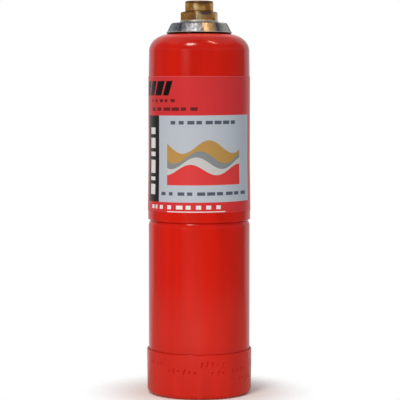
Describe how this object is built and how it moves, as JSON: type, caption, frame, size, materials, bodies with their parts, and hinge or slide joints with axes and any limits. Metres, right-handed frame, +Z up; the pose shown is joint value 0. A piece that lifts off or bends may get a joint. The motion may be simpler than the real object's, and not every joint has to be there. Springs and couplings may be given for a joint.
{
  "type": "refillable fuel canister",
  "caption": "Slim red pressed-steel fuel canister on a foot ring, with a wrapped label, a plated neck collar and a brass self-closing valve.",
  "frame": {"origin": "on the floor at the middle of the foot ring", "axes": "+Z up through the valve, -Y towards the label's pale panel, +X to the right of someone who faces that panel"},
  "size_m": [0.0728, 0.0728, 0.2713],
  "materials": {
    "body_paint": "glossy red enamel with light scuffs",
    "label_film": "printed film: red bands and a pale grey panel",
    "plated_steel": "turned, zinc plated with a faint yellow tint",
    "washer_steel": "bright, plain",
    "brass": "machined and tarnished",
    "rubber": "matte black",
    "spring_steel": "polished"
  },
  "bodies": {
    "canister": {"foot_ring": "body_paint", "vessel": "body_paint", "label": "label_film", "neck_collar": "plated_steel", "sealing_washer": "washer_steel", "valve_body": "brass", "stem_seal": "rubber", "check_spring": "spring_steel", "spring_retainer": "brass"},
    "check_ball": {"check_ball": "spring_steel"}
  },
  "joints": [
    {"name": "check_ball_travel", "type": "slide", "parent": "canister", "child": "check_ball", "axis": [0, 0, -1], "range_m": [0, 0.002], "stiffness_N_per_m": 300, "springref_m": -0.003, "deforming": ["check_spring"]}
  ]
}
